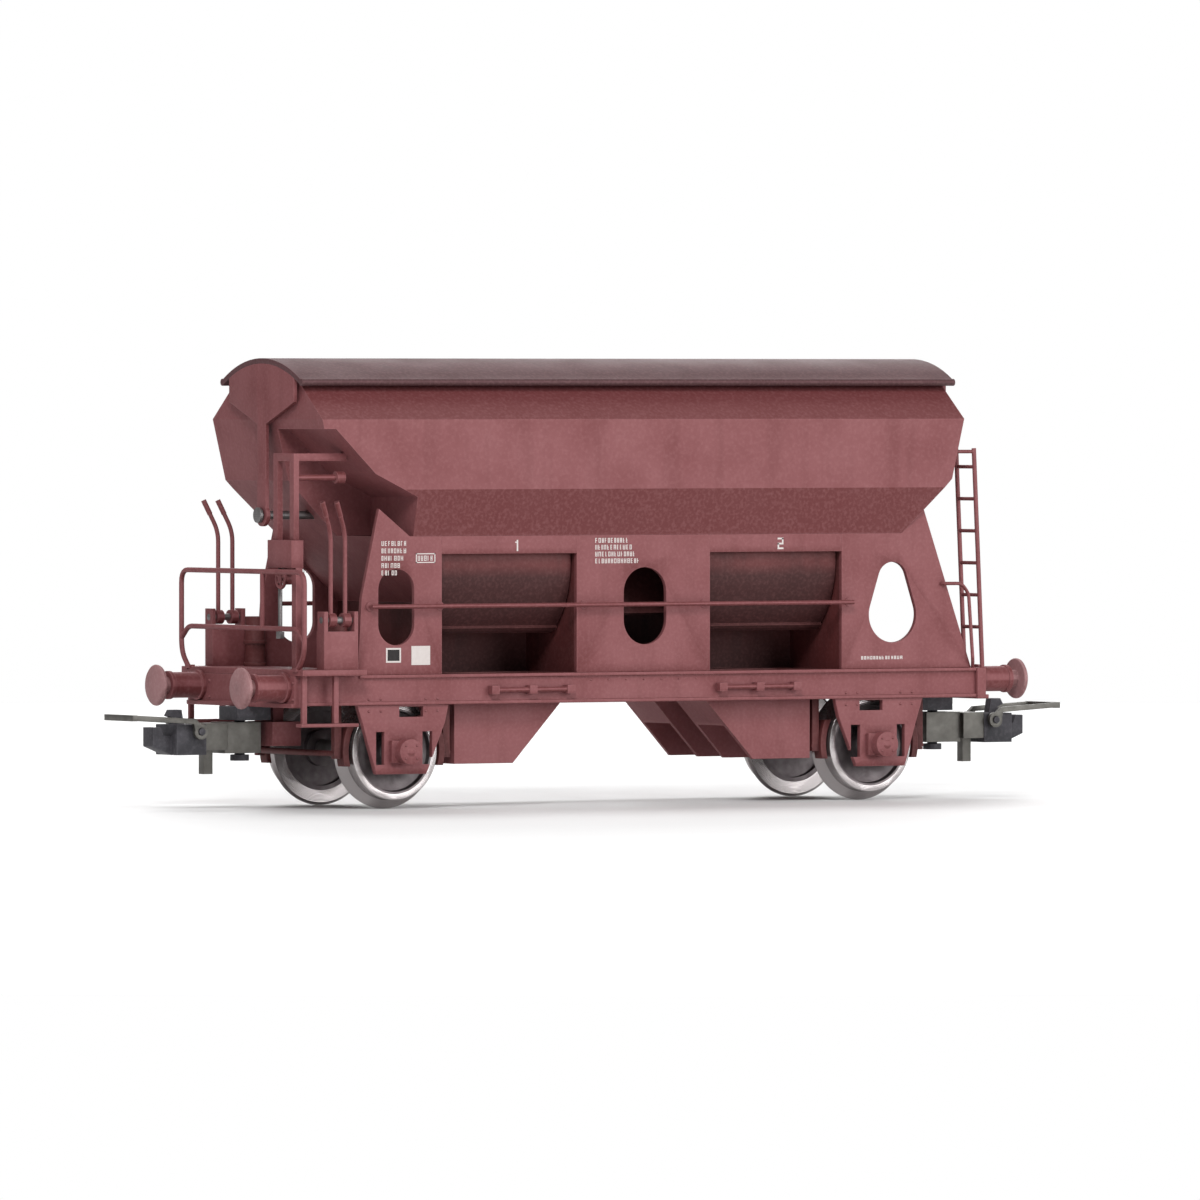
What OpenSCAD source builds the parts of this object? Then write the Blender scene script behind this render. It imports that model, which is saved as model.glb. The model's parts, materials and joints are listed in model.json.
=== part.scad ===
// Two-axle swing-roof hopper car, model size 1:87.
// +X points to the ladder end, -X to the platform end, -Y is the near side.
// Z = 0 is the bottom of the wheel flanges.

/* [Overall] */
// Height of the rail top above the bottom of the wheel flanges
flange_depth = 1.0; // [0.8:0.1:1.2]
// Distance between the two axles
wheelbase = 65; // [64:0.5:66]
// Diameter of the wheel tread
tread_d = 11.4; // [11:0.1:11.6]
// Sheet thickness of the hopper walls
wall = 0.7; // [0.6:0.05:0.8]
// Distance between the buffers of one end
buffer_spacing = 20; // [19.6:0.1:20.4]

/* [Hopper] */
// Half length of the hopper at its widest fold
fold_x = 43.8; // [43.6:0.1:44]
// Half width of the hopper at its widest fold
fold_y = 12.9; // [12.7:0.1:13]
// Half width of the loading slot rim
rim_y = 8; // [7.8:0.1:8.2]

/* [Roof] */
// Outer radius of the roof sheet around its pivots
roof_r = 18.2; // [18.1:0.05:18.4]
// Thickness of the roof sheet
roof_t = 0.6; // [0.5:0.05:0.65]

/* [Hidden] */
$fn = 32;
rail = flange_depth;
pivot_z = rail + 33;
fold_z = rail + 44.1;
rim_z = rail + 48;
belt_z = rail + 36;
skirt_z = rail + 30.6;
header_z = rail + 28.5;
sill_top = rail + 14.6;
sill_bottom = rail + 11.1;
plate_y = 11.9;
plate_t = 0.6;
axle_z = rail + tread_d / 2;
axle_x = wheelbase / 2;
headstock_x = 46;
headstock_t = 1.2;
buffer_z = rail + 13.2;
buffer_y = buffer_spacing / 2;
gate_y = 1.1;
gate_z = rail + 27.4;
gate_r = 9.9;
bulkhead_x = [-27.6, -8.8, 8.8, 27.6];
bulkhead_t = 0.6;
gate_clear = 0.3;
gate_low = bulkhead_x[2] + bulkhead_t / 2 + gate_clear;
gate_high = bulkhead_x[3] - bulkhead_t / 2 - gate_clear;
lever_y = 13.2;
lever_z = rail + 21;
lever_x = [-42.9, -41];
floor_top = rail + 15.3;
chute_x = [10, 16.4, 24.3];
chute_y = [2.6, 9.6];
chute_wall = 0.6;
column_x = -45.6;
platform_x = -47.1;
rail_y = 14.4;
oxide = [0.50, 0.22, 0.21];
dark_oxide = [0.36, 0.15, 0.15];
steel = [0.62, 0.60, 0.60];
black = [0.12, 0.12, 0.13];

// ---- building helpers ----

// Block between two opposite corners
module block(low, high) {
    translate(low)
        cube(high - low);
}

// Outline in Y and Z carried along X
module along_x(points, x0, x1) {
    translate([x0, 0, 0])
        rotate([90, 0, 90])
            linear_extrude(x1 - x0)
                polygon(points);
}

// Outline in X and Z carried along Y
module along_y(points, y0, y1) {
    translate([0, y1, 0])
        rotate([90, 0, 0])
            linear_extrude(y1 - y0)
                polygon(points);
}

// Eight-sided rod between two points
module rod(start, end, d) {
    span = end - start;
    reach = norm(span);
    translate(start)
        rotate([0, acos(span[2] / reach), atan2(span[1], span[0])])
            cylinder(h = reach, d = d, $fn = 8);
}

// Eight-sided wire bent through a list of points, each stretch run a little past its bends
module bent_rod(points, d) {
    for (i = [0 : len(points) - 2])
        let (
            step = (points[i + 1] - points[i]) / norm(points[i + 1] - points[i]) * d * 0.3,
            first = i == 0 ? points[i] : points[i] - step,
            last = i == len(points) - 2 ? points[i + 1] : points[i + 1] + step
        )
        rod(first, last, d);
}

// Round pin along X
module pin_x(x0, x1, y, z, d) {
    translate([x0, y, z])
        rotate([0, 90, 0])
            cylinder(h = x1 - x0, d = d);
}

// Round pin along Y
module pin_y(y0, y1, x, z, d) {
    translate([x, y0, z])
        rotate([-90, 0, 0])
            cylinder(h = y1 - y0, d = d);
}

// Its child, and the child's mirror image on the far side
module both_sides() {
    children();
    mirror([0, 1, 0])
        children();
}

// Its child, and the child's mirror image at the other end
module both_ends() {
    children();
    mirror([1, 0, 0])
        children();
}

// Its child four times, at both ends and on both sides
module four_corners() {
    both_ends()
        both_sides()
            children();
}

// ---- hopper ----

// How far the inner block runs past the open top and bottom
function overrun(inset) = inset > 0 ? 1 : 0;

// Cross section of the hopper, drawn inwards by the inset
function hopper_section(inset) = [
    for (side = [-1, 1], step = [0 : 3])
        let (
            over = overrun(inset),
            rim = [rim_y - 1.3 * inset - over * 4.9 / 3.9, rim_z + over],
            skirt = [plate_y - inset - over / 5.4, skirt_z - over],
            half = [rim, [fold_y - inset, fold_z - inset / 2], [fold_y - inset, belt_z], skirt],
            corner = half[side < 0 ? step : 3 - step]
        )
        [side * corner[0], corner[1]]
];

// Length outline of the hopper, drawn inwards by the inset
function hopper_profile(inset) = [
    for (side = [-1, 1], step = [0 : 4])
        let (
            over = overrun(inset),
            half = [
                [fold_x - inset, rim_z + over], [fold_x - inset, fold_z],
                [fold_x - 1.7 - inset, belt_z + 1], [fold_x - 4.8 - inset, belt_z - 2.1],
                [fold_x - 8.1 - inset - over, skirt_z - over]
            ],
            corner = half[side < 0 ? step : 4 - step]
        )
        [side * corner[0], corner[1]]
];

// Wedge cut from the near corner at the platform end, under the fold
module corner_wedge(grow) {
    translate([grow, grow, grow])
        along_y([
            [-fold_x - 2, fold_z - 1.1],
            [-fold_x + 1.8, fold_z - 1.1],
            [-fold_x + 7.1, belt_z + 1.8],
            [-fold_x + 12.8, belt_z - 0.9],
            [-fold_x + 12.6, skirt_z - 3],
            [-fold_x - 2, skirt_z - 3]
        ], -fold_y - 2, -2);
}

// Solid block of the hopper, with the two opposite corners cut back
module hopper_block(inset) {
    difference() {
        intersection() {
            along_x(hopper_section(inset), -fold_x - 1, fold_x + 1);
            along_y(hopper_profile(inset), -fold_y - 1, fold_y + 1);
        }
        corner_wedge(inset);
        rotate([0, 0, 180])
            corner_wedge(inset);
    }
}

// Arched top of the end wall that closes the gap under the roof
module end_arch() {
    intersection() {
        translate([-fold_x, 0, pivot_z])
            rotate([0, 90, 0])
                cylinder(h = wall, r = roof_r - roof_t - 0.35, $fn = 96);
        block([-fold_x, -rim_y, rim_z - 1], [0, rim_y, rim_z + 4]);
    }
}

module hopper_body() {
    color(oxide) {
        difference() {
            hopper_block(0);
            hopper_block(wall);
            both_ends()
                roof_pivot_hole();
        }
        both_ends() {
            end_arch();
            end_slope();
        }
    }
}

// Hole for the roof pivot pin in the end wall
module roof_pivot_hole() {
    pin_x(-fold_x - 1, -fold_x + 9, 0, pivot_z, 1.0);
}

// Slope that leads the load from the end wall down to the end bulkhead
module end_slope() {
    top = -fold_x + 8.1;
    foot = bulkhead_x[0] - bulkhead_t / 2;
    drop = foot - top;
    along_y([
        [top, skirt_z], [foot, skirt_z - drop],
        [foot, skirt_z - drop + 1], [top + 1, skirt_z]
    ], -plate_y + plate_t, plate_y - plate_t);
}

// Outline of the saddle in Y and Z
saddle_outline = [
    [0, skirt_z + 1.6], [-7.4, rail + 21.4], [-6.9, rail + 21.1],
    [0, skirt_z + 0.6], [6.9, rail + 21.1], [7.4, rail + 21.4]
];

module load_saddle() {
    color(dark_oxide) {
        along_x(saddle_outline, bulkhead_x[0] + bulkhead_t / 2, bulkhead_x[3] - bulkhead_t / 2);
        along_y([
            [bulkhead_x[1], skirt_z], [0, skirt_z + 3], [bulkhead_x[2], skirt_z],
            [bulkhead_x[2] - 1.2, skirt_z], [0, skirt_z + 2.4], [bulkhead_x[1] + 1.2, skirt_z]
        ], -plate_y + plate_t, plate_y - plate_t);
    }
}

module bulkheads() {
    color(dark_oxide)
        difference() {
            union() {
                for (x = bulkhead_x)
                    block(
                        [x - bulkhead_t / 2, -plate_y + plate_t, sill_top],
                        [x + bulkhead_t / 2, plate_y - plate_t, skirt_z]
                    );
                both_ends()
                    block([bulkhead_x[0], -0.3, sill_top], [bulkhead_x[1], 0.3, rail + 24]);
            }
            along_x(saddle_outline, bulkhead_x[0], bulkhead_x[3]);
            both_sides()
                pin_x(bulkhead_x[0] - 1, bulkhead_x[3] + 1, -gate_y, gate_z, 0.8);
        }
}

// Strip above each discharge recess
module outlet_headers() {
    color(oxide)
        both_ends()
            both_sides()
                block(
                    [bulkhead_x[0] + bulkhead_t / 2, -plate_y, header_z],
                    [bulkhead_x[1] - bulkhead_t / 2, -plate_y + plate_t, skirt_z]
                );
}

// ---- side plates ----

// Oval hole through both side plates
module oval_hole(x, z, half_width, half_height) {
    translate([x, 0, z])
        rotate([90, 0, 0])
            linear_extrude(4 * plate_y, center = true)
                oval(half_width, half_height);
}

// Flat oval made of a circle at each end and a bar between them
module oval(half_width, half_height) {
    for (side = [-1, 1])
        translate([0, side * (half_height - half_width)])
            circle(half_width);
    square([2 * half_width, 2 * (half_height - half_width)], center = true);
}

// Egg-shaped hole through both side plates: a large circle, a small one above it and their tangents
module egg_hole(x, z, low_r, rise, high_r) {
    lean = asin((low_r - high_r) / rise);
    translate([x, 0, z])
        rotate([90, 0, 0])
            linear_extrude(4 * plate_y, center = true) {
                circle(low_r);
                translate([0, rise])
                    circle(high_r);
                polygon([
                    low_r * [-cos(lean), sin(lean)], low_r * [cos(lean), sin(lean)],
                    [high_r * cos(lean), rise + high_r * sin(lean)],
                    [-high_r * cos(lean), rise + high_r * sin(lean)]
                ]);
            }
}

// One side plate on each side, from its outline in X and Z
module plate_pair(points) {
    both_sides()
        along_y(points, -plate_y, -plate_y + plate_t);
}

// Outline of a platform side plate in X and Z, with the two corners of its top edge given
function platform_plate_outline(top) = concat(
    [[-38.6, sill_top], [-38, rail + 23.6]],
    top,
    [
        [bulkhead_x[0] + bulkhead_t / 2, skirt_z],
        [bulkhead_x[0] + bulkhead_t / 2, sill_top]
    ]
);

module platform_side_plates() {
    color(oxide)
        difference() {
            union() {
                along_y(
                    platform_plate_outline([[-35.7, rail + 33.8], [-31.6, skirt_z]]),
                    -plate_y, -plate_y + plate_t
                );
                along_y(
                    platform_plate_outline([[-fold_x + 7.5, skirt_z + 0.6], [-fold_x + 8.1, skirt_z]]),
                    plate_y - plate_t, plate_y
                );
            }
            oval_hole(-33.4, rail + 22.4, 2.4, 4.4);
        }
}

module centre_side_plates() {
    color(oxide)
        difference() {
            plate_pair([
                [bulkhead_x[1] - bulkhead_t / 2, sill_top],
                [bulkhead_x[1] - bulkhead_t / 2, skirt_z],
                [bulkhead_x[2] + bulkhead_t / 2, skirt_z],
                [bulkhead_x[2] + bulkhead_t / 2, sill_top]
            ]);
            oval_hole(0.2, rail + 22.3, 2.9, 4.5);
        }
}

module ladder_side_plates() {
    color(oxide)
        difference() {
            plate_pair([
                [bulkhead_x[3] - bulkhead_t / 2, sill_top],
                [bulkhead_x[3] - bulkhead_t / 2, skirt_z],
                [fold_x - 8.1, skirt_z], [fold_x - 5.1, skirt_z + 3], [45.4, sill_top]
            ]);
            egg_hole(34.4, rail + 21, 3.3, 4.2, 2.0);
        }
}

// ---- frame ----

module side_sills() {
    color(oxide)
        both_sides() {
            block([-headstock_x, -plate_y, sill_bottom], [headstock_x, -plate_y + 0.8, sill_top]);
            block([-headstock_x, -plate_y - 0.3, sill_bottom], [headstock_x, -plate_y, sill_bottom + 0.4]);
            block([-38.4, -plate_y - 0.3, sill_top - 0.4], [headstock_x, -plate_y, sill_top]);
        }
}

module headstocks() {
    color(oxide)
        both_ends() {
            block(
                [headstock_x, -12.4, sill_bottom - 0.2],
                [headstock_x + headstock_t, 12.4, sill_top]
            );
            block(
                [headstock_x + headstock_t, -12.4, sill_bottom - 0.2],
                [headstock_x + headstock_t + 0.4, 12.4, sill_bottom + 0.3]
            );
        }
}

module underframe() {
    web_y = plate_y - 0.8;
    color(dark_oxide)
        difference() {
            block([-headstock_x, -web_y, sill_top - 1.4], [headstock_x, web_y, sill_top]);
            both_ends()
                both_sides()
                    block(
                        [chute_x[0] + chute_wall, -chute_y[1] + chute_wall, sill_top - 3],
                        [chute_x[2] - chute_wall, -chute_y[0] - chute_wall, sill_top + 1]
                    );
            four_corners()
                translate([5, 6, sill_top - 3])
                    cylinder(h = 5, d = 1);
        }
}

// One axle guard with its window and slot, at the ladder end on the near side
module axle_guard() {
    difference() {
        along_y([
            [26.4, sill_bottom], [26.9, rail + 9], [29.4, rail + 3.1],
            [36.1, rail + 3.1], [37.9, rail + 9], [38.6, sill_bottom]
        ], -plate_y, -plate_y + 0.7);
        block([29.8, -plate_y - 1, rail + 9.7], [33, -plate_y + 2, rail + 10.9]);
        block([28.6, -plate_y - 1, rail + 4.2], [29.9, -plate_y + 2, rail + 8]);
        block([35, -plate_y - 1, rail + 4.2], [36.1, -plate_y + 2, rail + 8]);
        pin_y(-plate_y - 1, -plate_y + 2, axle_x, axle_z, 2.0);
    }
}

module axle_guards() {
    color(oxide)
        four_corners()
            axle_guard();
}

module axlebox_covers() {
    color(oxide)
        four_corners()
            difference() {
                union() {
                    pin_y(-plate_y - 1.9, -plate_y, axle_x, axle_z, 3.0);
                    block(
                        [axle_x - 1.8, -plate_y - 0.6, axle_z - 1.3],
                        [axle_x + 1.8, -plate_y, axle_z + 1.3]
                    );
                }
                pin_y(-13, -plate_y + 1, axle_x, axle_z, 2.0);
            }
}

module bearing_cups() {
    color([0.75, 0.6, 0.3])
        four_corners()
            difference() {
                pin_y(-13, -10.8, axle_x, axle_z, 2.0);
                pin_y(-12.6, -10, axle_x, axle_z, 1.06);
            }
}

module leaf_springs() {
    spring_r = 12;
    color(dark_oxide)
        four_corners()
            for (leaf = [0 : 3])
                intersection() {
                    translate([axle_x, -10.4, rail + 8.2 + spring_r + leaf * 0.32])
                        rotate([90, 0, 0])
                            difference() {
                                cylinder(h = 0.6, r = spring_r, $fn = 96);
                                translate([0, 0, -1])
                                    cylinder(h = 3, r = spring_r - 0.32, $fn = 96);
                            }
                    block(
                        [axle_x - 6 + (3 - leaf) * 1.3, -12, rail + 8],
                        [axle_x + 6 - (3 - leaf) * 1.3, -10, rail + 10.6]
                    );
                }
}

module brake_shoes() {
    shoe_r = tread_d / 2;
    color(dark_oxide)
        four_corners()
            intersection() {
                translate([axle_x, -8.2, axle_z])
                    rotate([90, 0, 0])
                        difference() {
                            cylinder(h = 1.6, r = shoe_r + 1.1, $fn = 64);
                            translate([0, 0, -1])
                                cylinder(h = 4, r = shoe_r + 0.35, $fn = 64);
                        }
                for (side = [-1, 1])
                    translate([axle_x + side * 6.3, -9, axle_z + 0.6])
                        cube([2.6, 4, 4.6], center = true);
            }
}

module brake_hangers() {
    reach = tread_d / 2 + 1.55;
    color(dark_oxide)
        four_corners()
            for (side = [-1, 1]) {
                block(
                    [axle_x + side * reach - 0.45, -9.4, axle_z - 0.8],
                    [axle_x + side * reach + 0.45, -8.6, sill_top - 1.4]
                );
                pin_y(-9.4, 0, axle_x + side * (reach + 0.2), axle_z - 0.2, 0.7);
            }
}

// ---- wheels ----

// One wheel on the near side, turned about Y, as radius and distance outwards
module wheel() {
    r = tread_d / 2;
    back = 7.15;
    rotate([90, 0, 0])
        rotate_extrude($fn = 96)
            polygon([
                [1, back - 0.3], [2.1, back - 0.3], [2.1, back + 0.5], [r - 1.3, back + 0.6],
                [r - 1.3, back], [r + flange_depth - 0.3, back], [r + flange_depth, back + 0.3],
                [r + flange_depth - 0.2, back + 0.6], [r + 0.3, back + 0.9], [r, back + 1.3],
                [r - 0.06, back + 2.8], [r - 1.0, back + 2.8], [r - 1.1, back + 2.2],
                [2.1, back + 1.6], [1.9, back + 2.8], [1, back + 2.8]
            ]);
}

module wheel_pair(x) {
    translate([x, 0, axle_z])
        both_sides()
            wheel();
}

module axle(x) {
    translate([x, 0, axle_z])
        rotate([-90, 0, 0]) {
            cylinder(h = 20.6, d = 2, center = true);
            cylinder(h = 24.6, d = 1, center = true);
        }
}

module platform_axle() {
    color(black)
        axle(-axle_x);
}

module platform_wheels() {
    color(steel)
        wheel_pair(-axle_x);
}

module ladder_axle() {
    color(black)
        axle(axle_x);
}

module ladder_wheels() {
    color(steel)
        wheel_pair(axle_x);
}

// ---- buffers and couplers ----

module buffer_sleeves() {
    root = headstock_x + headstock_t;
    color(oxide)
        four_corners()
            difference() {
                union() {
                    pin_x(root, 51.6, -buffer_y, buffer_z, 3.0);
                    pin_x(root, root + 0.5, -buffer_y, buffer_z, 3.5);
                    pin_x(51.1, 51.6, -buffer_y, buffer_z, 3.3);
                }
                pin_x(root + 1.5, 52, -buffer_y, buffer_z, 2.0);
            }
}

module buffer_heads() {
    color([0.55, 0.3, 0.3])
        four_corners() {
            pin_x(48.7, 52.9, -buffer_y, buffer_z, 2.0);
            translate([52.7, -buffer_y, buffer_z])
                rotate([0, 90, 0])
                    rotate_extrude($fn = 64)
                        polygon([[0, 0], [2.3, 0], [2.4, 0.15], [2.4, 0.35], [2.1, 0.6], [1.2, 0.75], [0, 0.8]]);
        }
}

module coupler_pivots() {
    color(black)
        both_ends() {
            block([44.6, -2.2, rail + 9.3], [49, 2.2, sill_bottom - 0.2]);
            block([44.6, -2.2, sill_bottom - 0.2], [headstock_x, 2.2, sill_top - 1.4]);
            translate([47.5, 0, rail + 5])
                cylinder(h = 5, d = 1.2);
            translate([47.5, 0, rail + 4.6])
                cylinder(h = 0.7, d = 2.2);
        }
}

// Shank of a coupler at the ladder end, with the bore for its pivot pin
module coupler_shank() {
    color([0.3, 0.29, 0.28])
        difference() {
            union() {
                block([45.6, -1.7, rail + 5.5], [50.4, 1.7, rail + 9.1]);
                block([50.4, -2.4, rail + 5.9], [53.3, 2.4, rail + 9.0]);
                block([51.4, -0.6, rail + 3.1], [52.6, 0.6, rail + 5.9]);
            }
            translate([47.5, 0, rail])
                cylinder(h = 12, d = 1.3);
        }
}

// Head of a coupler with its hook and the pins that carry the bow
module coupler_head() {
    color(black) {
        block([53.3, -2.5, rail + 5.4], [57.2, 2.5, rail + 8.9]);
        along_y([
            [57.2, rail + 5.4], [59.6, rail + 6.4], [59.6, rail + 8.6],
            [58.6, rail + 8.6], [58.2, rail + 7.6], [57.2, rail + 7.6]
        ], -1.2, 1.2);
        along_y([
            [55.2, rail + 8.9], [55.5, rail + 10.6], [56.8, rail + 10.6],
            [57.2, rail + 9.9], [56.4, rail + 9.6], [56.6, rail + 8.9]
        ], -0.6, 0.6);
        pin_y(-3.6, 3.6, 54.4, rail + 8.1, 0.8);
    }
}

// Lifting bow of a coupler: two arms and a front bar
module coupler_bow() {
    color([0.35, 0.33, 0.32]) {
        both_sides()
            difference() {
                union() {
                    pin_y(-3.4, -2.8, 54.4, rail + 8.1, 1.8);
                    along_y([
                        [54.2, rail + 8.7], [55.2, rail + 9.6], [63.5, rail + 10.1],
                        [63.5, rail + 9.5], [55.4, rail + 9.0], [55.1, rail + 7.8]
                    ], -3.4, -2.8);
                }
                pin_y(-4, 4, 54.4, rail + 8.1, 0.9);
            }
        block([62.9, -3.4, rail + 9.4], [63.5, 3.4, rail + 10.1]);
    }
}

// Its child turned half round to the platform end
module at_platform_end() {
    mirror([1, 0, 0])
        children();
}

module ladder_coupler_shank() {
    coupler_shank();
}

module ladder_coupler_head() {
    coupler_head();
}

module ladder_coupler_bow() {
    coupler_bow();
}

module platform_coupler_shank() {
    at_platform_end()
        coupler_shank();
}

module platform_coupler_head() {
    at_platform_end()
        coupler_head();
}

module platform_coupler_bow() {
    at_platform_end()
        coupler_bow();
}

// ---- discharge gates and chutes ----

// Ring sector in Y and Z around the gate shaft, between two angles below level
module gate_sector(outer, inner, upper, lower) {
    intersection() {
        difference() {
            circle(outer, $fn = 96);
            circle(inner, $fn = 96);
        }
        polygon(concat([[0, 0]], [
            for (step = [0 : 4])
                let (turn = 180 - upper + step * (upper + lower) / 4)
                14 * [cos(turn), sin(turn)]
        ]));
    }
}

// Near gate between two places along X: curved plate, rib and two end arms
module gate(x0, x1) {
    arm_t = 0.5;
    color(dark_oxide)
        translate([x0, -gate_y, gate_z])
            rotate([90, 0, 90]) {
                linear_extrude(x1 - x0)
                    gate_sector(gate_r, gate_r - 0.5, 11, 56);
                linear_extrude(x1 - x0)
                    gate_sector(gate_r + 0.3, gate_r - 0.1, -48, 51);
                for (place = [0, x1 - x0 - arm_t])
                    translate([0, 0, place])
                        linear_extrude(arm_t)
                            gate_arm();
            }
}

// Outline of a gate arm with its hub and bore
module gate_arm() {
    difference() {
        union() {
            circle(0.85);
            rotate(233)
                translate([0, -0.4])
                    square([gate_r - 0.2, 0.8]);
        }
        circle(0.45);
    }
}

module gate_1_near() {
    gate(-gate_high, -gate_low);
}

module gate_1_far() {
    mirror([0, 1, 0])
        gate(-gate_high, -gate_low);
}

module gate_2_near() {
    gate(gate_low, gate_high);
}

module gate_2_far() {
    mirror([0, 1, 0])
        gate(gate_low, gate_high);
}

module gate_shafts() {
    color(steel)
        four_corners()
            pin_x(
                bulkhead_x[2] - bulkhead_t / 2, bulkhead_x[3] + bulkhead_t / 2,
                -gate_y, gate_z, 0.8
            );
}

// Near chute at the ladder end, open at the top and the bottom
module chute() {
    top = sill_top - 1.4;
    foot = rail + 4.1;
    outline = [
        [chute_x[2], top], [chute_x[2], foot], [chute_x[1], foot],
        [chute_x[0], rail + 11], [chute_x[0], top]
    ];
    hollow = [
        [chute_x[2] - chute_wall, top + 1], [chute_x[2] - chute_wall, foot - 1],
        [chute_x[1] + chute_wall - 0.9, foot - 1], [chute_x[0] + chute_wall, rail + 11.2],
        [chute_x[0] + chute_wall, top + 1]
    ];
    color(oxide)
        difference() {
            along_y(outline, -chute_y[1], -chute_y[0]);
            along_y(hollow, -chute_y[1] + chute_wall, -chute_y[0] - chute_wall);
        }
}

module chutes_1() {
    both_sides()
        mirror([1, 0, 0])
            chute();
}

module chutes_2() {
    both_sides()
        chute();
}

module gate_rods() {
    rod_y = -plate_y - 0.6;
    color(oxide)
        both_ends()
            both_sides() {
                pin_x(10, 21, rod_y, rail + 12.7, 0.6);
                for (x = [10.4, 15.5, 20.6])
                    block(
                        [x - 0.5, -plate_y - 1, rail + 12.2],
                        [x + 0.5, -plate_y, rail + 13.2]
                    );
            }
}

// ---- levers ----

// Near lever at a place along X: hub, upright and cranked grip
module lever(x) {
    color(oxide)
        difference() {
            union() {
                pin_x(x - 0.45, x + 0.45, -lever_y, lever_z, 1.7);
                bent_rod([
                    [x, -lever_y, lever_z], [x, -lever_y, rail + 31],
                    [x - 1.6, -lever_y - 0.8, rail + 34.7]
                ], 0.6);
            }
            pin_x(x - 1, x + 1, -lever_y, lever_z, 0.9);
        }
}

module lever_1_near() {
    lever(lever_x[0]);
}

module lever_2_near() {
    lever(lever_x[1]);
}

module lever_1_far() {
    mirror([0, 1, 0])
        lever(lever_x[0]);
}

module lever_2_far() {
    mirror([0, 1, 0])
        lever(lever_x[1]);
}

module lever_shafts() {
    color(steel)
        both_sides()
            pin_x(-44.2, -39.7, -lever_y, lever_z, 0.8);
}

module lever_boxes() {
    box_top = rail + 19.7;
    color(oxide)
        both_sides()
            difference() {
                union() {
                    block([-44.2, -14, floor_top], [-39.7, -12.2, box_top]);
                    for (x = [-44.2, -40.2])
                        block([x, -14, box_top], [x + 0.5, -12.4, rail + 22]);
                }
                pin_x(-45, -39, -lever_y, lever_z, 0.8);
            }
}

// ---- platform ----

module platform_floor() {
    color(oxide)
        block([-47.2, -14.3, sill_top], [-38.7, 14.3, floor_top]);
}

module platform_railing() {
    bar = 0.6;
    top = rail + 26.5;
    middle = rail + 19.95;
    near_points = [
        [platform_x, -12.6, floor_top], [platform_x, -rail_y, rail + 17.2],
        [platform_x, -rail_y, top - 1.6], [platform_x, -rail_y + 0.5, top - 0.5],
        [platform_x, -rail_y + 1.6, top]
    ];
    far_points = [for (i = [len(near_points) - 1 : -1 : 0])
        [platform_x, -near_points[i][1], near_points[i][2]]];
    color(oxide) {
        bent_rod(concat(near_points, far_points), bar);
        bent_rod([
            [platform_x, -rail_y, middle - 1.4], [platform_x, -rail_y + 1.7, middle],
            [platform_x, rail_y - 1.7, middle], [platform_x, rail_y, middle - 1.4]
        ], bar);
        rod([platform_x, -4.7, middle], [platform_x, -4.7, top], bar);
    }
}

module air_cylinders() {
    color(dark_oxide)
        both_sides()
            translate([-40, -9.6, floor_top]) {
                cylinder(h = 5.8, d = 2.4);
                translate([0, 0, 2.6])
                    cylinder(h = 0.4, d = 2.7);
                cylinder(h = 0.4, d = 2.7);
            }
}

module platform_steps() {
    color(oxide)
        both_sides() {
            block([-47.2, -14, rail + 8.7], [-39.6, -12.6, rail + 9.1]);
            for (x = [-46.8, -42.6])
                block([x, -13.5, rail + 9.1], [x + 0.6, -13, sill_top]);
        }
}

module valve_box() {
    color(oxide) {
        block([-44.8, -3, rail + 6.3], [-41, 3, rail + 9.1]);
        block([-43.6, -1, rail + 9.1], [-42.2, 1, sill_top - 1.4]);
    }
}

// ---- hand brake ----

module brake_column() {
    top = rail + 40.2;
    color(oxide) {
        for (y = [-5.7, -9.5])
            block([column_x - 0.35, y - 0.5, rail + 30.2], [column_x + 0.35, y + 0.5, top]);
        block([column_x - 0.35, -10, top - 0.9], [column_x + 0.35, -5.2, top]);
        block([column_x + 0.35, -9.9, top - 0.9], [-38.9, -9.1, top]);
        pin_x(column_x + 0.35, -39.6, -9.5, rail + 37.4, 0.7);
        pin_x(-40.2, -39.1, -9.5, rail + 37.4, 1.4);
        block([column_x - 0.3, -10.4, floor_top], [column_x + 0.6, -9.4, rail + 27]);
    }
}

module brake_gearbox() {
    color(oxide)
        difference() {
            union() {
                block([-46.5, -10.4, rail + 27], [-44.9, -4.8, rail + 30.2]);
                pin_x(-45.9, -44.9, -7.6, rail + 25.7, 1.3);
                block([-45.9, -8, rail + 25.8], [-44.9, -7.2, rail + 27]);
            }
            pin_x(-47, -45.1, -7.6, rail + 25.7, 0.6);
        }
}

module brake_spindle() {
    color(steel)
        translate([column_x, -6.2, 0]) {
            translate([0, 0, rail + 19.4])
                cylinder(h = 7.55, d = 0.5);
            translate([0, 0, rail + 18.8])
                cylinder(h = 0.8, d = 1.1, $fn = 6);
        }
}

module brake_handwheel() {
    color(oxide)
        translate([-46.3, -7.6, rail + 25.7])
            rotate([0, 90, 0]) {
                rotate_extrude($fn = 64)
                    translate([1, 0])
                        circle(0.2);
                for (turn = [0 : 60 : 300])
                    rotate(turn)
                        translate([0, -0.12, -0.12])
                            cube([1, 0.24, 0.24]);
                translate([0, 0, -0.2])
                    cylinder(h = 0.4, d = 0.9);
                cylinder(h = 1.1, d = 0.5);
            }
}

// ---- ladder end ----

// Place along X of the ladder at a height
function ladder_x(z) = 46.9 - (z - sill_top) * 1.2 / 26;

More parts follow.
